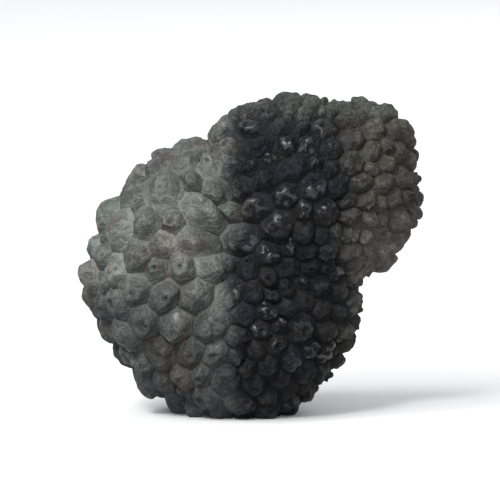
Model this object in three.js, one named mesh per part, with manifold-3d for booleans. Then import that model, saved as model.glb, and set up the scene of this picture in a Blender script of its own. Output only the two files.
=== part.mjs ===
// A whole black truffle, about 32 mm across and 30 mm tall, standing on a small flat spot.
// It is one solid: a lobed tuber whose skin is packed with blunt, many-sided warts and the narrow grooves
// between them. Millimetres, +Z up, front towards -Y. The origin is on the surface it stands on, under the
// middle of its bounding box.
import * as THREE from "three";
import { ConvexHull } from "three/addons/math/ConvexHull.js";
import { SimplexNoise } from "three/addons/math/SimplexNoise.js";
import { mergeVertices } from "three/addons/utils/BufferGeometryUtils.js";
import Module from "manifold-3d";

// ---- The tuber's form ------------------------------------------------------------------------------------
// The tuber is a union of ellipsoid lobes, less the dents. Its skin is measured outwards from the heart.
const heart = new THREE.Vector3(0, 0, 14);
const lobes = {
  belly: { centre: [-1.6, 0.4, 10.96], radii: [11.3, 10.0, 11.5] },
  leftHip: { centre: [-8.4, 0.2, 13.0], radii: [6.7, 8.2, 7.2] },
  leftShoulder: { centre: [-5.4, -0.5, 16.5], radii: [7.2, 8.0, 8.4] },
  crown: { centre: [3.6, 0.5, 20.5], radii: [8.8, 9.2, 9.0] },
  rightCheek: { centre: [8.4, 0, 20.9], radii: [6.8, 7.8, 7.4] },
  rightCorner: { centre: [11.0, 0.4, 24.8], radii: [3.8, 5.4, 4.0] },
  backKnob: { centre: [-1.0, 6.0, 9.5], radii: [7.0, 5.4, 6.5] },
};
const dents = {
  frontFurrow: { centre: [-2.4, -9.3, 19.6], radii: [2.6, 2.6, 7.6] },
  backHollow: { centre: [4.5, 12.5, 15.5], radii: [5.0, 4.2, 3.2] },
  lowDimple: { centre: [-15.0, 8.5, 7.0], radii: [3.4, 3.4, 3.4] },
};
const creaseSoftness = 0.7; // how far the creases between lobes are rounded
const swells = { height: 0.4, length: 7.5 }; // low swells all over the skin

// ---- The skin's warts ------------------------------------------------------------------------------------
const wartSpacing = { left: 3.4, right: 2.3 }; // between neighbouring tips, on the tuber's left and right
const spacingTurn = { from: -6, to: 4 }; // the width of tuber over which the one spacing becomes the other
const knobs = [
  { towards: [-6.1, -0.6, 25.8], reach: 1.8 }, // the big warts along the left shoulder
  { towards: [-9.2, -1.6, 24.3], reach: 1.7 },
  { towards: [-11.1, 0.8, 22.9], reach: 1.7 },
  { towards: [-13.9, -0.4, 19.6], reach: 1.9 },
];
const wartHeight = 0.32; // a wart's height as a share of its own width
const wartHeightSpread = 0.25; // how far one wart's height may differ from the next, as a share
const shoulderReach = 0.52; // from a wart's tip to its shoulder, as a share of the way to the groove
const shoulderHeight = 0.69; // the shoulder's height as a share of the tip's
const shoulderSpread = 0.14; // how uneven the shoulders are
const grooveDepth = 0.4; // how far the grooves lie below the smooth skin
const grooveOpening = { from: 1.5, to: 5 }; // the heights between which they open out, above the flat spot
const tipDrift = 0.14; // how far off centre a tip may sit, as a share of the wart's width
const wartReach = { least: 0.26, most: 0.5 }; // how far a wart keeps others off, as shares of the spacing
const dartThrows = 14000; // tries at placing a wart
const relaxings = 1; // rounds of evening out the spacing
const seeds = { warts: 20, swells: 7 };

// ---- Finding the skin ------------------------------------------------------------------------------------
const outside = 24; // from the heart to well outside the skin
const strides = 24; // steps taken inwards from there
const probe = 0.05; // half the step over which the skin's slope is taken
const weld = 1e-4; // vertices nearer than this are one

// ---- The flat spot it stands on --------------------------------------------------------------------------
const cutter = 80; // side of the block that takes off what lies below

// A small seeded generator, so that the same truffle grows each time.
function seededRandom(seed) {
  let state = seed;
  return () => {
    state = (state + 0x6d2b79f5) | 0;
    let t = Math.imul(state ^ (state >>> 15), 1 | state);
    t = (t + Math.imul(t ^ (t >>> 7), 61 | t)) ^ t;
    return ((t ^ (t >>> 14)) >>> 0) / 4294967296;
  };
}
const random = seededRandom(seeds.warts);
const swellNoise = new SimplexNoise({ random: seededRandom(seeds.swells) });
const uneven = (spread) => 1 + spread * (2 * random() - 1); // a factor near 1

// A point's distance from an ellipsoid's surface, less than zero inside it.
function distanceTo({ centre, radii }, point) {
  const p = [point.x - centre[0], point.y - centre[1], point.z - centre[2]];
  const once = Math.hypot(...p.map((c, i) => c / radii[i]));
  const twice = Math.hypot(...p.map((c, i) => c / radii[i] ** 2));
  return (once * (once - 1)) / twice;
}

// The least of some distances, rounded where two of them meet.
function softLeast(distances) {
  const sum = distances.reduce((total, distance) => total + Math.exp(-distance / creaseSoftness), 0);
  return -creaseSoftness * Math.log(sum);
}

// A point's distance from the smooth skin, less than zero inside the tuber.
function skinDistance(point) {
  const body = softLeast(Object.values(lobes).map((lobe) => distanceTo(lobe, point)));
  const hollow = softLeast(Object.values(dents).map((dent) => distanceTo(dent, point)));
  const p = point.clone().divideScalar(swells.length);
  return -softLeast([-body, hollow]) - swells.height * swellNoise.noise3d(p.x, p.y, p.z);
}

// The skin in a direction from the heart, found by walking in from outside.
function skinPoint(direction) {
  const point = heart.clone().addScaledVector(direction, outside);
  for (let i = 0; i < strides; i++) point.addScaledVector(direction, -skinDistance(point));
  return point;
}

// The outward normal of the smooth skin: the way in which the distance grows.
function skinNormal(point) {
  const slope = (x, y, z) => {
    const step = new THREE.Vector3(x, y, z).multiplyScalar(probe);
    return skinDistance(point.clone().add(step)) - skinDistance(point.clone().sub(step));
  };
  return new THREE.Vector3(slope(1, 0, 0), slope(0, 1, 0), slope(0, 0, 1)).normalize();
}

function randomDirection() {
  const z = 2 * random() - 1;
  const turn = 2 * Math.PI * random();
  const flat = Math.sqrt(1 - z * z);
  return new THREE.Vector3(flat * Math.cos(turn), flat * Math.sin(turn), z);
}

function spacingAt(point) {
  const share = THREE.MathUtils.smoothstep(point.x, spacingTurn.from, spacingTurn.to);
  return THREE.MathUtils.lerp(wartSpacing.left, wartSpacing.right, share);
}

// The directions of the warts, thrown like darts and kept where no other wart is too near.
function scatterWarts() {
  const kept = knobs.map(({ towards, reach }) => {
    const direction = new THREE.Vector3(...towards).sub(heart).normalize();
    return { direction, point: skinPoint(direction), reach };
  });
  for (let i = 0; i < dartThrows; i++) {
    const direction = randomDirection();
    const point = skinPoint(direction);
    const reach = spacingAt(point) * THREE.MathUtils.lerp(wartReach.least, wartReach.most, random());
    const free = kept.every((other) => other.point.distanceTo(point) > other.reach + reach);
    if (free) kept.push({ direction, point, reach });
  }
  return kept.map(({ direction }) => direction);
}

// The triangles that join neighbouring warts: on a sphere, they are the faces of the directions' convex hull.
function neighbourTriangles(directions) {
  const hull = new ConvexHull().setFromPoints(directions);
  const indexOf = new Map(directions.map((direction, i) => [direction, i]));
  return hull.faces.map(({ edge }) => {
    const ends = [edge.tail(), edge.head(), edge.next.head()];
    return ends.map((end) => indexOf.get(end.point));
  });
}

// Each wart's groove corners, in order round it. A corner is the middle of three neighbouring warts.
function wartOutlines(directions) {
  const triangles = neighbourTriangles(directions);
  const corners = triangles.map((triangle) =>
    triangle.reduce((sum, i) => sum.add(directions[i]), new THREE.Vector3()).normalize(),
  );
  const outlines = directions.map(() => []);
  triangles.forEach((triangle, corner) => triangle.forEach((i) => outlines[i].push(corner)));
  outlines.forEach((outline, i) => {
    const axis = directions[i];
    const side = new THREE.Vector3(axis.y, axis.z, axis.x).cross(axis).normalize();
    const up = axis.clone().cross(side);
    const turn = (corner) => Math.atan2(corners[corner].dot(up), corners[corner].dot(side));
    outline.sort((a, b) => turn(a) - turn(b));
  });
  return { corners, outlines };
}

function evenOut(directions) {
  const { corners, outlines } = wartOutlines(directions);
  return outlines.map((outline) => {
    const middle = outline.reduce((sum, corner) => sum.add(skinPoint(corners[corner])), new THREE.Vector3());
    return middle.divideScalar(outline.length).sub(heart).normalize();
  });
}

// The skin: one blunt pyramid for each wart, joined to its neighbours along the grooves.
function wartySkin() {
  let directions = scatterWarts();
  for (let i = 0; i < relaxings; i++) directions = evenOut(directions);
  const { corners, outlines } = wartOutlines(directions);
  const vertices = corners.map((corner) => {
    const point = skinPoint(corner);
    const open = THREE.MathUtils.smoothstep(point.z, grooveOpening.from, grooveOpening.to);
    return point.addScaledVector(skinNormal(point), -grooveDepth * open);
  });
  const faces = [];
  const raise = (direction, height) => {
    const point = skinPoint(direction);
    return vertices.push(point.addScaledVector(skinNormal(point), height)) - 1;
  };
  outlines.forEach((outline, i) => {
    const foot = skinPoint(directions[i]);
    const reach = outline.reduce((sum, corner) => sum + vertices[corner].distanceTo(foot), 0);
    const width = (2 * reach) / outline.length;
    const height = width * wartHeight * uneven(wartHeightSpread);
    const drift = randomDirection().multiplyScalar((tipDrift * width) / foot.distanceTo(heart));
    const tipDirection = directions[i].clone().add(drift).normalize();
    const tip = raise(tipDirection, height);
    const shoulder = outline.map((corner) => {
      const wide = uneven(shoulderSpread);
      const direction = tipDirection.clone().lerp(corners[corner], shoulderReach * wide).normalize();
      return raise(direction, height * shoulderHeight * (2 - wide));
    });
    outline.forEach((corner, k) => {
      const next = (k + 1) % outline.length;
      faces.push([corner, outline[next], shoulder[next]]);
      faces.push([corner, shoulder[next], shoulder[k]]);
      faces.push([shoulder[k], shoulder[next], tip]);
    });
  });
  return { vertices, faces };
}

function geometryOf({ vertices, faces }) {
  const geometry = new THREE.BufferGeometry().setFromPoints(vertices);
  return geometry.setIndex(faces.flat());
}

const wasm = await Module();
wasm.setup();

function solidOf(geometry) {
  const bare = geometry.clone();
  bare.deleteAttribute("normal");
  bare.deleteAttribute("uv");
  const merged = mergeVertices(bare, weld);
  return new wasm.Manifold(
    new wasm.Mesh({
      numProp: 3,
      vertProperties: merged.attributes.position.array,
      triVerts: new Uint32Array(merged.index.array),
    }),
  );
}

function geometryFrom(solid) {
  const { vertProperties, triVerts } = solid.getMesh();
  return new THREE.BufferGeometry()
    .setAttribute("position", new THREE.BufferAttribute(vertProperties, 3))
    .setIndex(new THREE.BufferAttribute(triVerts, 1));
}

// The warty tuber, cut level at the flat spot and set down with the spot on z = 0.
function truffleGeometry() {
  const skin = geometryOf(wartySkin());
  const below = new THREE.BoxGeometry(cutter, cutter, cutter).translate(0, 0, -cutter / 2);
  const geometry = geometryFrom(solidOf(skin).subtract(solidOf(below)));
  geometry.computeBoundingBox();
  const middle = geometry.boundingBox.getCenter(new THREE.Vector3());
  return geometry.translate(-middle.x, -middle.y, 0);
}

const skinMaterial = new THREE.MeshStandardMaterial({ color: 0x2b2a28, roughness: 0.55, metalness: 0 });
const truffle = new THREE.Mesh(truffleGeometry(), skinMaterial);
truffle.name = "truffle";

const part = new THREE.Group();
part.add(truffle);
export default part;
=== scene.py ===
import math
import bpy
import numpy as np
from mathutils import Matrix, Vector


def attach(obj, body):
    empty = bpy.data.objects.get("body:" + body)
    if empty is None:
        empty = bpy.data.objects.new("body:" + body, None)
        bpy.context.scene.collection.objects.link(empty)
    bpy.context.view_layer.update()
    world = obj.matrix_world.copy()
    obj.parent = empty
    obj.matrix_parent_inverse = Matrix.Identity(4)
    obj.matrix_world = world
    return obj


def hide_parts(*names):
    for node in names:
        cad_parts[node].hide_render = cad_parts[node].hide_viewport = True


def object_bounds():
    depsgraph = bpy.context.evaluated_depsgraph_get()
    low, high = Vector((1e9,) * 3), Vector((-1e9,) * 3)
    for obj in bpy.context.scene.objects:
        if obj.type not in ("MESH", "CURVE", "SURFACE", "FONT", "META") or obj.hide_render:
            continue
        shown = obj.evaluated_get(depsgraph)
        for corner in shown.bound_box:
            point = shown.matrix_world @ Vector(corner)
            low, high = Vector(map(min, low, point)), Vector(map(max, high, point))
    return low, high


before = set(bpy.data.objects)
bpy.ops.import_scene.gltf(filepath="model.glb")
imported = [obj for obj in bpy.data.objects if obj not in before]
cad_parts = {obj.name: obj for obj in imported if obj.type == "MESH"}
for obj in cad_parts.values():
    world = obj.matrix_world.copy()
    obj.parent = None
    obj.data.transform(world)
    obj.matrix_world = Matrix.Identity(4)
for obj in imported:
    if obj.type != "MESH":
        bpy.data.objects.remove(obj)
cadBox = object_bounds()
print("frame loaded")


def pick(piece):  # makes it the one selected and active object
    bpy.ops.object.select_all(action="DESELECT")
    piece.select_set(True)
    bpy.context.view_layer.objects.active = piece


def edit(piece, mode="VERT"):  # into edit mode with everything selected
    pick(piece)
    bpy.ops.object.mode_set(mode="EDIT")
    bpy.ops.mesh.select_mode(type=mode)
    bpy.ops.mesh.select_all(action="SELECT")


def editWhere(piece, chosen, mode="VERT"):  # into edit mode with only the chosen vertices or edges selected
    edit(piece, mode)
    bpy.ops.mesh.select_all(action="DESELECT")
    doneEditing()
    items = piece.data.vertices if mode == "VERT" else piece.data.edges
    items.foreach_set("select", chosen)
    bpy.ops.object.mode_set(mode="EDIT")


def doneEditing():
    bpy.ops.object.mode_set(mode="OBJECT")


def smoothWhere(piece, chosen, rounds):
    editWhere(piece, chosen)
    bpy.ops.mesh.vertices_smooth(factor=0.5, repeat=rounds)
    doneEditing()


def numbersOf(items, key, width=1, kind=np.float32):  # a row for each item
    values = np.zeros(len(items) * width, kind)
    items.foreach_get(key, values)
    return values.reshape(-1, width) if width > 1 else values


def keep(mesh, name, kind, domain, key, values):  # as an attribute of the mesh
    mesh.attributes.new(name, kind, domain).data.foreach_set(key, np.ravel(values).astype(np.float32))


def weigh(piece, name, weights):  # a vertex group
    group = piece.vertex_groups.new(name=name)
    for vertex, weight in enumerate(weights):
        if weight > 0:
            group.add([vertex], weight, "REPLACE")


def modify(piece, name, kind, **settings):  # adds a modifier and applies it
    modifier = piece.modifiers.new(name, kind)
    for key, value in settings.items():
        setattr(modifier, key, value)
    pick(piece)
    bpy.ops.object.modifier_apply(modifier=name)


def emboss(piece, name, group, kind, height, level, **settings):  # by a procedural texture
    texture = bpy.data.textures.new(name, kind)
    for key, value in settings.items():
        setattr(texture, key, value)
    modify(piece, name, "DISPLACE", texture=texture, vertex_group=group, strength=height, mid_level=level)


# The truffle's skin. Each wart of the solid is a tip, a ring of shoulders round it, and the groove's corners.
skin = {
    "name": "truffleSkin",
    "node": "truffle",
    "slot": "skin",
    "weld": 0.000002,
    "seed": 11,
    "turn": (-0.006, 0.003),  # the stretch over which the left lobe's rounded warts give way to rougher ones
    "shoulderRise": 0.5,  # how high a shoulder counts, from 0 in the groove to 1 at the tip
    "normalRounds": 2,  # how far the directions in which the warts move are evened out
    "grooveDrop": (0.0, 0.00015),  # how much lower than the solid's the groove's corners are
    "shoulderDrop": (0.0, 0.00030),
    "tipDrop": (0.0, 0.00022),
    "fill": (0.00038, 0.00020),  # how much shallower the grooves are, on the left and on the right
    "fillFrom": (0.002, 0.006),  # the heights above the foot between which that sets in
    "swell": 0.00020,  # how far it all moves out, to make up for what the smoothing takes off
    "knobs": {  # places that stand out beyond the rest, and how far
        (-0.0111, -0.0005, 0.0230): 0.00060,
        (-0.0146, -0.0018, 0.0192): 0.00015,
    },
    "knobReach": 0.0027,  # how far from such a place that fades to nothing
    "cuts": 3,  # in each edge
    "footCuts": 3,  # in each edge of the flat spot, before those
    "grooveTop": 0.001,  # the rise below which a point is in the groove
    "grooveDepth": 0.00018,  # the narrow slot at the bottom of the grooves
    "cleftShare": 0.16,  # of the ridges
    "cleftDepth": 0.00016,
    "facetDepth": 0.00012,  # how hollow the facets between the ridges are
    "rounding": {0.1: 2, 0.7: 3},  # rounds of smoothing over all that is higher than each of these rises
    "leftRounding": (0.3, 3),  # then above this rise, and so many rounds, on the left lobe's warts alone
    "dimpledShare": 0.40,  # of the tips
    "dimpleDepth": 0.00050,
    "dimpleReach": 0.0008,  # from the tip to the shoulders, below which a dimple is shallower
    "dimpleRim": 0.15,  # where a dimple starts, from 0 at the shoulders to 1 at the tip
    "footFade": (0.0001, 0.0012),  # the heights between which the lumps, nodules and grain set in
    "rough": (0.6, 0.85),  # how strong the nodules are on the left lobe, and on the rest
    # Each relief's texture and size, how high it stands, and the shade of the texture that stays level.
    "lumps": {"kind": "CLOUDS", "noise_scale": 0.0018, "noise_depth": 1, "height": 0.00055, "level": 0.5},
    "nodules": {"kind": "VORONOI", "noise_scale": 0.0010, "height": -0.00045, "level": 0.4},
    "grain": {"kind": "CLOUDS", "noise_scale": 0.00042, "noise_depth": 2, "height": 0.00026, "level": 0.5},
    "foot": 0.0,  # level of the flat spot
    "crestRounds": 4,  # how wide a stretch a crest is measured against
    "crestHeight": 0.00006,  # of a crest that counts as 1
    "spike": 1.8,  # the crests above this are smoothed down
    "spikeRounds": 2,
    "crispAngle": 60,  # facets that meet at more than this keep a sharp edge
}


spokeCount = {"shoulder": 5, "groove": 8}  # the edges that meet there, and at a groove's corner at least


def copyOfNode():
    piece = bpy.data.objects.new(skin["name"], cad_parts[skin["node"]].data.copy())
    bpy.context.scene.collection.objects.link(piece)
    edit(piece)
    bpy.ops.mesh.remove_doubles(threshold=skin["weld"])
    doneEditing()
    bpy.ops.mesh.customdata_custom_splitnormals_clear()
    return piece


def findWarts(mesh):  # what each vertex is, and the number of the wart that it is on
    ends = numbersOf(mesh.edges, "vertices", 2, np.int32)
    both = np.concatenate([ends, ends[:, ::-1]])
    count = len(mesh.vertices)
    spokes = np.bincount(ends.ravel(), minlength=count)
    most = np.zeros(count, int)
    least = np.full(count, len(ends))
    np.maximum.at(most, both[:, 0], spokes[both[:, 1]])
    np.minimum.at(least, both[:, 0], spokes[both[:, 1]])
    pressed = numbersOf(mesh.vertices, "co", 3)[:, 2] < skin["weld"]
    tips = (most == spokeCount["shoulder"]) & (least == spokeCount["shoulder"]) & ~pressed
    shoulders = (spokes < spokeCount["groove"]) & ~tips & ~pressed
    wartOf = np.full(count, -1)
    wartOf[tips] = np.arange(tips.sum())
    fromTip = both[tips[both[:, 0]]]
    wartOf[fromTip[:, 1]] = wartOf[fromTip[:, 0]]
    roles = np.where(tips, 2, np.where(shoulders | pressed, 1, 0))
    return roles, wartOf, pressed


def markWarts(piece):  # keeps what the later steps need to know of each wart, and moves its points a little
    mesh = piece.data
    random = np.random.default_rng(skin["seed"])
    roles, wartOf, pressed = findWarts(mesh)
    tips = roles == 2
    places = numbersOf(mesh.vertices, "co", 3)
    normals = numbersOf(mesh.vertex_normals, "vector", 3)
    rise = np.choose(roles, [0.0, skin["shoulderRise"], 1.0])
    keep(mesh, "rise", "FLOAT", "POINT", "value", rise)

    corners = numbersOf(mesh.polygons, "vertices", 3, np.int32)
    faceWart = wartOf[corners].max(axis=1)
    tones = random.random(tips.sum() + 1)
    keep(mesh, "wartTone", "FLOAT", "FACE", "value", tones[faceWart])
    tipPlaces = np.append(places[tips], [[0, 0, 0]], axis=0)
    awayFromTip = places[corners] - tipPlaces[faceWart][:, None]
    keep(mesh, "awayFromTip", "FLOAT_VECTOR", "CORNER", "vector", awayFromTip)

    # A facet's side goes from 0 at one of its ridges to 1 at the other.
    onWart = (roles > 0)[corners]
    isTip = tips[corners]
    before, after = np.roll(onWart, 1, axis=1), np.roll(onWart, -1, axis=1)
    flanks = onWart.sum(axis=1)[:, None]
    side = np.where(flanks == 1, onWart | after, np.where(flanks == 2, onWart & ~before, 0.0))
    top = np.roll(isTip, -1, axis=1)
    side = np.where(flanks == 3, np.where(isTip, 0.5, top), side)
    keep(mesh, "side", "FLOAT", "CORNER", "value", side)

    ends = numbersOf(mesh.edges, "vertices", 2, np.int32)
    for i in range(skin["normalRounds"]):
        sums = normals.copy()
        np.add.at(sums, ends[:, 0], normals[ends[:, 1]])
        np.add.at(sums, ends[:, 1], normals[ends[:, 0]])
        normals = sums / np.linalg.norm(sums, axis=1)[:, None]
    count = len(places)
    dimpled = tips & (random.random(count) < skin["dimpledShare"])
    lengths = np.linalg.norm(places[ends[:, 0]] - places[ends[:, 1]], axis=1)
    spokes = np.bincount(ends.ravel(), minlength=count)
    reach = np.bincount(ends.ravel(), np.repeat(lengths, 2), count) / spokes
    keep(mesh, "dimple", "FLOAT", "POINT", "value", dimpled * np.clip(reach / skin["dimpleReach"], 0, 1))

    drops = [random.uniform(*skin[key], count) for key in ("grooveDrop", "shoulderDrop", "tipDrop")]
    drop = np.choose(roles, drops)
    fill = np.interp(places[:, 0], skin["turn"], skin["fill"])
    fill *= np.interp(places[:, 2], skin["fillFrom"], (0, 1))
    drop -= skin["swell"] + fill * (roles == 0)
    for place, lift in skin["knobs"].items():
        drop -= lift * np.clip(1.0 - np.linalg.norm(places - place, axis=1) / skin["knobReach"], 0, 1)
    places -= normals * (drop * ~pressed)[:, None]
    mesh.vertices.foreach_set("co", places.ravel())
    mesh.update()
    print("warts moved:", tips.sum())
    return corners, side, roles, pressed


def cutFacets(piece, corners, side, roles, pressed):
    mesh = piece.data

    # The edges across the flanks go, so that each flank is one facet, and some of the ridges become clefts.
    cornerRoles = roles[corners]
    crossing = (cornerRoles + np.roll(cornerRoles, -1, axis=1) == 1) & (side != np.roll(side, -1, axis=1))
    crossing &= ~pressed[corners].any(axis=1)[:, None]
    loopEdges = numbersOf(mesh.loops, "edge_index", 1, np.int32).reshape(-1, 3)
    ends = numbersOf(mesh.edges, "vertices", 2, np.int32)
    crossed = np.zeros(len(mesh.edges), bool)
    crossed[loopEdges[crossing]] = True
    ridges = (roles[ends[:, 0]] != roles[ends[:, 1]]) & ~crossed
    random = np.random.default_rng(skin["seed"])
    clefts = ridges & (random.random(len(ridges)) < skin["cleftShare"])
    mesh.edges.foreach_set("use_seam", clefts)
    editWhere(piece, crossed, "EDGE")
    bpy.ops.mesh.dissolve_edges(use_verts=False)
    doneEditing()

    # Everything is cut finely, and the flat spot, whose faces are long, once more before that.
    editWhere(piece, numbersOf(mesh.vertices, "co", 3)[:, 2] < skin["weld"])
    bpy.ops.mesh.subdivide(number_cuts=skin["footCuts"])
    doneEditing()
    edit(piece)
    bpy.ops.mesh.subdivide(number_cuts=skin["cuts"])
    doneEditing()
    print("facets cut")


def carveWarts(piece):
    mesh = piece.data

    # Grooves and clefts are pushed in, and the facets are hollowed.
    rise = numbersOf(mesh.attributes["rise"].data, "value")
    editWhere(piece, rise < skin["grooveTop"])
    bpy.ops.transform.shrink_fatten(value=-skin["grooveDepth"])
    bpy.ops.mesh.select_mode(type="EDGE")
    bpy.ops.mesh.mark_sharp()
    doneEditing()
    editWhere(piece, numbersOf(mesh.edges, "use_seam", 1, bool), "EDGE")
    bpy.ops.transform.shrink_fatten(value=-skin["cleftDepth"])
    doneEditing()
    loopPoints = numbersOf(mesh.loops, "vertex_index", 1, np.int32)
    side = numbersOf(mesh.attributes["side"].data, "value")
    hollow = np.bincount(loopPoints, 4 * side * (1 - side)) / np.bincount(loopPoints)
    weigh(piece, "facets", hollow * 4 * rise * (1 - rise))
    modify(piece, "Facets", "DISPLACE", vertex_group="facets", strength=-skin["facetDepth"], mid_level=0.0)

    # The warts are rounded, and some tips are dimpled.
    for level, rounds in skin["rounding"].items():
        smoothWhere(piece, rise > level, rounds)
    level, rounds = skin["leftRounding"]
    across = numbersOf(mesh.vertices, "co", 3)[:, 0]
    smoothWhere(piece, (rise > level) & (across < sum(skin["turn"]) / 2), rounds)
    dimple = numbersOf(mesh.attributes["dimple"].data, "value")
    weigh(piece, "dimples", np.clip((dimple - skin["dimpleRim"]) / (1 - skin["dimpleRim"]), 0, 1))
    modify(piece, "Dimples", "DISPLACE", vertex_group="dimples", strength=-skin["dimpleDepth"], mid_level=0.0)
    print("warts carved")


def roughen(piece):  # lumps, nodules and grain, with the flat spot kept flat
    places = numbersOf(piece.data.vertices, "co", 3)
    free = np.interp(places[:, 2], skin["footFade"], (0, 1))
    weigh(piece, "free", free)
    weigh(piece, "rough", free * np.interp(places[:, 0], skin["turn"], skin["rough"]))
    emboss(piece, "lumps", "free", **skin["lumps"])
    emboss(piece, "nodules", "rough", **skin["nodules"])
    emboss(piece, "grain", "free", **skin["grain"])
    editWhere(piece, numbersOf(piece.data.vertices, "co", 3)[:, 2] < skin["foot"])
    bpy.ops.transform.resize(value=(1, 1, 0), center_override=(0, 0, skin["foot"]))
    doneEditing()
    print("skin roughened")


def markCrests(mesh):  # how far each point stands out of the skin round it, less than zero in the creases
    ends = numbersOf(mesh.edges, "vertices", 2, np.int32)
    places = numbersOf(mesh.vertices, "co", 3).astype(float)
    count = len(places)
    spokes = np.bincount(ends.ravel(), minlength=count)[:, None]
    around = places.copy()
    for i in range(skin["crestRounds"]):
        near = [np.bincount(ends.ravel(), around[ends[:, ::-1].ravel(), axis], count) for axis in range(3)]
        around = (around + np.stack(near, axis=1) / spokes) / 2
    crest = ((places - around) * numbersOf(mesh.vertex_normals, "vector", 3)).sum(axis=1)
    print("crests: mm at 5, 50, 95 per cent", np.percentile(crest * 1000, [5, 50, 95]).round(3))
    keep(mesh, "crest", "FLOAT", "POINT", "value", crest / skin["crestHeight"])


def truffleSkin():
    piece = copyOfNode()
    mesh = piece.data
    cutFacets(piece, *markWarts(piece))
    carveWarts(piece)
    roughen(piece)
    markCrests(mesh)
    crest = numbersOf(mesh.attributes["crest"].data, "value")
    smoothWhere(piece, crest > skin["spike"], skin["spikeRounds"])
    pick(piece)
    bpy.ops.object.shade_smooth_by_angle(angle=math.radians(skin["crispAngle"]), keep_sharp_edges=True)
    triangles = sum(len(face.vertices) - 2 for face in mesh.polygons)
    print("skin:", triangles, "triangles")
    return piece


class Value:  # a socket that takes part in sums
    def __init__(self, shader, socket):
        self.shader = shader
        self.socket = socket

    def maths(self, operation, *values):
        return self.shader.node("ShaderNodeMath", {"operation": operation}, dict(enumerate(values)))

    def __add__(self, other):
        return self.maths("ADD", self, other)

    def __radd__(self, other):
        return self.maths("ADD", other, self)

    def __sub__(self, other):
        return self.maths("SUBTRACT", self, other)

    def __rsub__(self, other):
        return self.maths("SUBTRACT", other, self)

    def __mul__(self, other):
        return self.maths("MULTIPLY", self, other)

    def __rmul__(self, other):
        return self.maths("MULTIPLY", other, self)

    def __abs__(self):
        return self.maths("ABSOLUTE", self)

    def ramp(self, low, high, start=0.0, end=1.0):  # eased from start to end as this goes from low to high
        settings = {"interpolation_type": "SMOOTHSTEP"}
        sockets = {0: self, 1: low, 2: high, 3: start, 4: end}
        return self.shader.node("ShaderNodeMapRange", settings, sockets)

    def lines(self, edge, core=0.0):  # wandering lines, where a noise passes its middle value
        return abs(self - 0.5).ramp(core, edge, 1.0, 0.0)


class Shader:  # one material's nodes
    def __init__(self, name):
        self.material = bpy.data.materials.new(name)
        self.material.use_nodes = True
        self.tree = self.material.node_tree
        self.surface = self.tree.nodes["Principled BSDF"]

    def plug(self, socket, value):
        if isinstance(value, Value):
            self.tree.links.new(value.socket, socket)
        else:
            socket.default_value = value

    def node(self, kind, settings=None, sockets=None, output=0):
        made = self.tree.nodes.new(kind)
        for key, value in (settings or {}).items():
            setattr(made, key, value)
        for key, value in (sockets or {}).items():
            self.plug(made.inputs[key], value)
        return Value(self, made.outputs[output])

    def attribute(self, name, output="Fac"):
        return self.node("ShaderNodeAttribute", {"attribute_name": name}, output=output)

    def vector(self, operation, *values):
        return self.node("ShaderNodeVectorMath", {"operation": operation}, dict(enumerate(values)))

    def noise(self, place, scale, detail, roughness=0.55, output=0):
        sockets = {"Vector": place, "Scale": scale, "Detail": detail, "Roughness": roughness}
        return self.node("ShaderNodeTexNoise", {}, sockets, output)

    def mix(self, share, first, second):  # of two colours
        return self.node("ShaderNodeMix", {"data_type": "RGBA"}, {0: share, 6: first, 7: second}, output=2)

    def set(self, **sockets):
        for key, value in sockets.items():
            self.plug(self.surface.inputs[key.replace("_", " ")], value)


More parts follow.
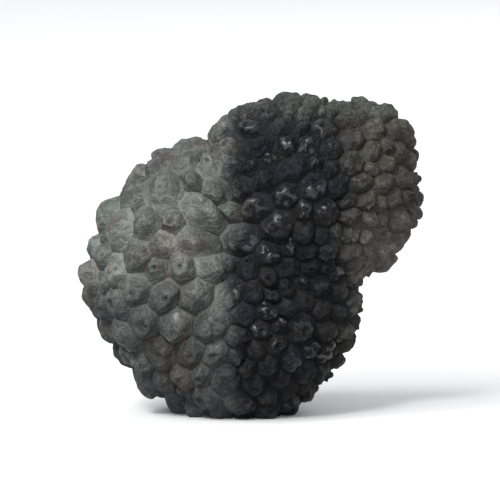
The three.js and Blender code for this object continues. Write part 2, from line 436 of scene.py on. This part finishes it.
# The skin's finish: the colours in the grooves, which are painted light and shade, on the warts' flanks,
# and on their worn ridges and tips, which are partly painted highlight.
finish = {
    # In the grooves, painted light: paler than the flanks to lift the shade there; on the top darker, as
    # painted shade.
    "groove": {
        "black": (0.0148, 0.0165, 0.0195, 1),  # the crown
        "umber": (0.0168, 0.0155, 0.0142, 1),  # patches there
        "brown": (0.0510, 0.0480, 0.0385, 1),  # the right cheek
        "dustAndPaintedReflection": (0.0300, 0.0315, 0.0280, 1),  # the top, paler: partly dust, partly a painted reflection along its rim
        "bloomAndPaintedReflection": (0.1930, 0.2110, 0.1910, 1),  # the left lobe, paler: a bloom, and a painted reflection over it
        "clayAndPaintedReflection": (0.1880, 0.1800, 0.1620, 1),  # patches there, and the cheek's underside: a clay tone, made paler by painted reflection
    },
    "flank": {
        "black": (0.0062, 0.0074, 0.0101, 1),
        "umber": (0.0114, 0.0102, 0.0095, 1),
        "brown": (0.0495, 0.0470, 0.0385, 1),
        "dustAndPaintedReflection": (0.0540, 0.0565, 0.0510, 1),
        "bloomAndPaintedReflection": (0.0900, 0.1005, 0.0905, 1),
        "clayAndPaintedReflection": (0.0880, 0.0840, 0.0750, 1),
    },
    # Partly wear and partly painted highlight: paler caps on the crests and ridges.
    "wornAndPaintedHighlight": {
        "black": (0.0138, 0.0163, 0.0210, 1),
        "umber": (0.0220, 0.0195, 0.0178, 1),
        "brown": (0.0600, 0.0575, 0.0475, 1),
        "dustAndPaintedReflection": (0.0860, 0.0900, 0.0820, 1),
        "bloomAndPaintedReflection": (0.1690, 0.1870, 0.1690, 1),
        "clayAndPaintedReflection": (0.1660, 0.1600, 0.1440, 1),
    },
    "pattern": {  # how many to a millimetre, how much finer detail, and where needed how rough that is
        "drift": (0.13, 2.0),  # of the zones' borders
        "patches": (0.22, 2.0),
        "mottle": (0.4, 4.0),
        "paintedHighlightLines": (0.5, 2.0),
        "breaks": (0.8, 2.0),  # in the fissures and the pale lines
        "steps": (1.1, 3.0),
        "wrinkles": (1.2, 2.0),
        "bends": (1.4, 2.0, 0.5),  # of the fissures
        "grain": (3.0, 3.0, 0.6),
        "fissures": (2.6, 2.0),  # not to a millimetre but round a tip
    },
    "wartShift": (37.0, 91.0, 53.0),  # gives each wart fissures of its own
    "driftReach": 9.0,  # how far the borders wander, in millimetres
    "border": {  # where each zone sets in and where it is whole, in millimetres
        "left": (-0.5, -3.4),
        "leftFoot": (9.0, 16.0),  # heights between which the left lobe's bloom and painted reflection thicken
        "leftTop": (18.0, 24.0),  # and thins again
        "slant": (-3.0, 8.0),  # depths between which its border starts to lean over
        "slantMiddle": 15.0,
        "bulge": (13.0, 15.5),  # heights between which its border swings out to the right
        "bulgeTop": (20.5, 16.5),  # and back
        "cheek": (7.3, 11.0),
        # painted light: the cheek's shaded underside is made paler between these heights
        "paintedLightUnderside": (20.5, 15.5),
        "paintedLightUndersideFoot": (9.0, 13.0),
        "top": (26.8, 29.3),
        "topSide": (1.0, 5.0),
        "wetter": (19.0, 23.0),  # heights between which more of the warts are wet
    },
    "zoneShare": {"umber": 0.7, "paintedLightUnderside": 0.6, "top": 0.8},  # how strong these are where they are whole
    "grooveShare": {  # how much of the grooves' painted light and shade each of these has
        "grooves": 0.7,
        "fissures": 0.2,
        "wrinkles": 0.2,
        "creases": 0.6,
    },
    "wearAndPaintedHighlight": {  # how worn these are, and how strong their painted highlights are
        "ridges": 0.2,
        "paintedRimHighlights": 0.7,  # painted highlight rings round the dimples
        "leftCrests": 0.4,  # how much less worn and highlighted the left lobe's crests are
    },
    "steps": 9.0,  # up a wart
    "stepWander": 4.0,
    "bumpHeight": 0.00016,
    "bump": {  # how strong each of these is beside the grain
        "mottle": 0.3,
        "steps": 0.12,
        "fissures": 0.6,
        "wrinkles": 0.5,
        "paintedHighlightLines": 0.3,
        "left": 0.25,  # how much smoother the left lobe is
    },
    "drier": {"left": 0.85, "top": 0.6, "cheek": 0.8},  # than the crown
    "wetRoughness": 0.37,  # of the film on the wet warts
    "specular": 0.13,
}


def skinMaterial():
    shader = Shader("truffleSkin")
    pattern, border, share = finish["pattern"], finish["border"], finish["zoneShare"]
    sunken, wornAndPaintedHighlight, bumps, drier = finish["grooveShare"], finish["wearAndPaintedHighlight"], finish["bump"], finish["drier"]
    place = shader.node("ShaderNodeTexCoord", output="Object")
    millimetres = shader.vector("MULTIPLY", place, (1000, 1000, 1000))
    where = shader.node("ShaderNodeSeparateXYZ", {}, {0: millimetres}).socket.node
    across, deep, up = [Value(shader, where.outputs[axis]) for axis in "XYZ"]
    rise = shader.attribute("rise")
    tone = shader.attribute("wartTone")
    crest = shader.attribute("crest")
    ridge = abs(shader.attribute("side") * 2.0 - 1.0)
    dimple = shader.attribute("dimple")
    # Painted highlight rings on the dimples' rims.
    paintedRimHighlight = dimple.ramp(0.02, 0.2) * dimple.ramp(0.65, 0.35)

    drift = (shader.noise(millimetres, *pattern["drift"]) - 0.5) * finish["driftReach"]
    patches = shader.noise(millimetres, *pattern["patches"]).ramp(0.48, 0.62)
    mottle = shader.noise(millimetres, *pattern["mottle"])
    broken = shader.noise(millimetres, *pattern["breaks"])
    grain = shader.noise(millimetres, *pattern["grain"])

    # Radial fissures run from some tips, wrinkles and pale lines, which are painted highlights, wander over
    # the rest, and fine steps run round the warts.
    spoke = shader.vector("NORMALIZE", shader.attribute("awayFromTip", "Vector"))
    shifts = {axis: tone * shift for axis, shift in enumerate(finish["wartShift"])}
    spoke = shader.vector("ADD", spoke, shader.node("ShaderNodeCombineXYZ", {}, shifts))
    spoke = shader.vector("ADD", spoke, shader.noise(millimetres, *pattern["bends"], output=1))
    fissure = shader.noise(spoke, *pattern["fissures"]).lines(0.09) * broken.ramp(0.42, 0.60)
    fissure = fissure * rise.ramp(0.1, 0.4)
    wrinkle = shader.noise(millimetres, *pattern["wrinkles"]).lines(0.07)
    paintedHighlightLine = shader.noise(millimetres, *pattern["paintedHighlightLines"]).lines(0.06, 0.02) * broken.ramp(0.62, 0.50)
    steps = rise * finish["steps"] + shader.noise(millimetres, *pattern["steps"]) * finish["stepWander"]
    terrace = steps.maths("PINGPONG", steps, 0.5) * 2.0

    # The zones. The left lobe's border is upright in front and leans over at the back.
    slant = deep.ramp(*border["slant"]) * (up - border["slantMiddle"]) * 0.4
    bulge = up.ramp(*border["bulge"]) * up.ramp(*border["bulgeTop"]) * 0.8
    left = (across + drift * 0.7 - slant - bulge).ramp(*border["left"])
    left = left * up.ramp(*border["leftFoot"], 0.42, 1.0)
    cheek = (across + drift * 0.5).ramp(*border["cheek"])
    top = (up + drift * 0.3).ramp(*border["top"]) * across.ramp(*border["topSide"], 0.65, 1.0)
    # Painted light: the cheek's underside, in shade under its overhang, is made paler as though lit.
    paintedLightUnderside = cheek * (up + drift * 0.3).ramp(*border["paintedLightUnderside"]) * up.ramp(*border["paintedLightUndersideFoot"])
    # The left lobe is paler, partly a bloom and partly a painted reflection, thinner near the foot and the
    # top.
    bloomAndPaintedReflection = left * tone.ramp(0.0, 1.0, 0.65, 1.0) * up.ramp(*border["leftTop"], 1.0, 0.8)

    def zones(colours):  # of the grooves, the flanks or the worn and painted-highlight parts, over the whole truffle
        colour = shader.mix(patches * share["umber"], colours["black"], colours["umber"])
        colour = shader.mix(cheek, colour, colours["brown"])
        colour = shader.mix(paintedLightUnderside * share["paintedLightUnderside"], colour, colours["clayAndPaintedReflection"])
        # The top is paler, partly dust and partly a painted reflection along the rim.
        colour = shader.mix(top * share["top"], colour, colours["dustAndPaintedReflection"])
        paleLobeAndPaintedReflection = shader.mix(patches, colours["bloomAndPaintedReflection"], colours["clayAndPaintedReflection"])
        return shader.mix(bloomAndPaintedReflection, colour, paleLobeAndPaintedReflection)

    # Crests and ridges are worn, partly wear and partly painted highlight; the dimples' rims and the pale
    # lines are painted highlights. The rims and the pale lines show most on the left lobe.
    wearAndPaintedHighlight = crest.ramp(0.0, 0.9) * (1.0 - left * wornAndPaintedHighlight["leftCrests"])
    wearAndPaintedHighlight = wearAndPaintedHighlight + ridge.ramp(0.7, 1.0) * rise.ramp(0.1, 0.5) * wornAndPaintedHighlight["ridges"]
    wearAndPaintedHighlight = wearAndPaintedHighlight * mottle.ramp(0.30, 0.60, 0.3, 1.0) * grain.ramp(0.3, 0.6, 0.5, 1.0)
    wearAndPaintedHighlight = wearAndPaintedHighlight + (paintedHighlightLine + paintedRimHighlight * wornAndPaintedHighlight["paintedRimHighlights"]) * (0.15 + left * 0.85)
    colour = shader.mix(wearAndPaintedHighlight, zones(finish["flank"]), zones(finish["wornAndPaintedHighlight"]))
    # Grooves, fissures, wrinkles and creases take the grooves' colours: painted light lifting their shade,
    # painted shade on the top.
    low = rise.ramp(0.0, 0.22, sunken["grooves"], 0.0)
    low = low + fissure * sunken["fissures"] + wrinkle * sunken["wrinkles"]
    low = low + crest.ramp(-0.2, -1.2) * sunken["creases"]
    colour = shader.mix(low, colour, zones(finish["groove"]))

    height = grain + mottle * bumps["mottle"] + terrace * bumps["steps"] - fissure * bumps["fissures"]
    height = height - wrinkle * bumps["wrinkles"] + paintedHighlightLine * bumps["paintedHighlightLines"]
    height = height * (1.0 - left * bumps["left"])
    bumpSockets = {"Strength": 1.0, "Distance": finish["bumpHeight"], "Height": height}
    bump = shader.node("ShaderNodeBump", {}, bumpSockets)

    # Single warts and spots of the crown are wet, and the rest is drier.
    wet = (mottle + up.ramp(*border["wetter"], -0.02, 0.07)).ramp(0.42, 0.58)
    wet = wet * crest.ramp(0.2, 1.0) * tone.ramp(0.25, 0.95)
    wet = wet * (1.0 - left * drier["left"]) * (1.0 - top * drier["top"]) * (1.0 - cheek * drier["cheek"])
    shader.set(Base_Color=colour, Roughness=rise.ramp(0.0, 0.3, 1.0, 0.6) - wet * 0.1, Coat_Weight=wet)
    shader.set(Coat_Roughness=finish["wetRoughness"], Specular_IOR_Level=finish["specular"], Normal=bump)
    return shader.material


truffle = truffleSkin()
truffle.data.materials.clear()
truffle.data.materials.append(skinMaterial())
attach(truffle, "root")
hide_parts(skin["node"])
print("skin finished")

studio = {
    "floorHalf": 4.0,
    "floorColour": (0.82, 0.82, 0.81, 1),
    "floorRoughness": 0.7,
    "world": (0.92, 0.95, 1.0, 1),
    "worldStrength": 0.56,
    "sunFrom": (-0.60, -0.50, 1.0),
    "sunStrength": 1.85,
    "sunAngle": 30,
    "lamps": {  # whether each one lights the skin, and whether it glints on the wet warts
        "glint": {"from": (-0.18, -0.42, 0.36), "size": 0.12, "power": 2.3, "lights": True, "glints": True},
        "fill": {"from": (0.08, -0.55, 0.12), "size": 0.50, "power": 1.6, "lights": True, "glints": False},
        "back": {"from": (0.25, 0.45, 0.40), "size": 0.45, "power": 1.2, "lights": True, "glints": False},
        "crown": {"from": (-0.08, -0.26, 0.55), "size": 0.14, "power": 1.6, "lights": False, "glints": True},
    },
}
middle = Vector((0, 0, (cadBox[0].z + cadBox[1].z) / 2))


def aim(thing, start):  # at the middle of the truffle
    thing.rotation_euler = (middle - Vector(start)).to_track_quat("-Z", "Y").to_euler()


bpy.ops.mesh.primitive_plane_add(size=studio["floorHalf"] * 2, location=(0, 0, 0))
floor = bpy.context.active_object
floor.name = "floor"
floor.visible_diffuse = False  # the skin is lit as if the floor weren't there
floorShader = Shader("floor")
floorShader.set(Base_Color=studio["floorColour"], Roughness=studio["floorRoughness"])
floor.data.materials.append(floorShader.material)

world = bpy.data.worlds.new("studio")
world.use_nodes = True
world.node_tree.nodes["Background"].inputs["Color"].default_value = studio["world"]
world.node_tree.nodes["Background"].inputs["Strength"].default_value = studio["worldStrength"]
bpy.context.scene.world = world
bpy.context.scene.view_settings.view_transform = "Standard"

bpy.ops.object.light_add(type="SUN", location=studio["sunFrom"])
sun = bpy.context.active_object
sun.data.energy = studio["sunStrength"]
sun.data.angle = math.radians(studio["sunAngle"])
aim(sun, studio["sunFrom"])
for name, lamp in studio["lamps"].items():
    bpy.ops.object.light_add(type="AREA", location=lamp["from"])
    light = bpy.context.active_object
    light.name = name
    light.data.size = lamp["size"]
    light.data.energy = lamp["power"]
    light.visible_diffuse = lamp["lights"]
    light.visible_glossy = lamp["glints"]
    aim(light, lamp["from"])

view = {"elevation": math.radians(5.5), "distance": 0.59, "width": 0.047, "sensor": 36.0}
away = Vector((0, -math.cos(view["elevation"]), math.sin(view["elevation"])))
bpy.ops.object.camera_add(location=middle + away * view["distance"])
camera = bpy.context.active_object
aim(camera, camera.location)
camera.data.sensor_width = view["sensor"]
camera.data.lens = view["sensor"] * view["distance"] / view["width"]
bpy.context.scene.camera = camera
print("studio ready")
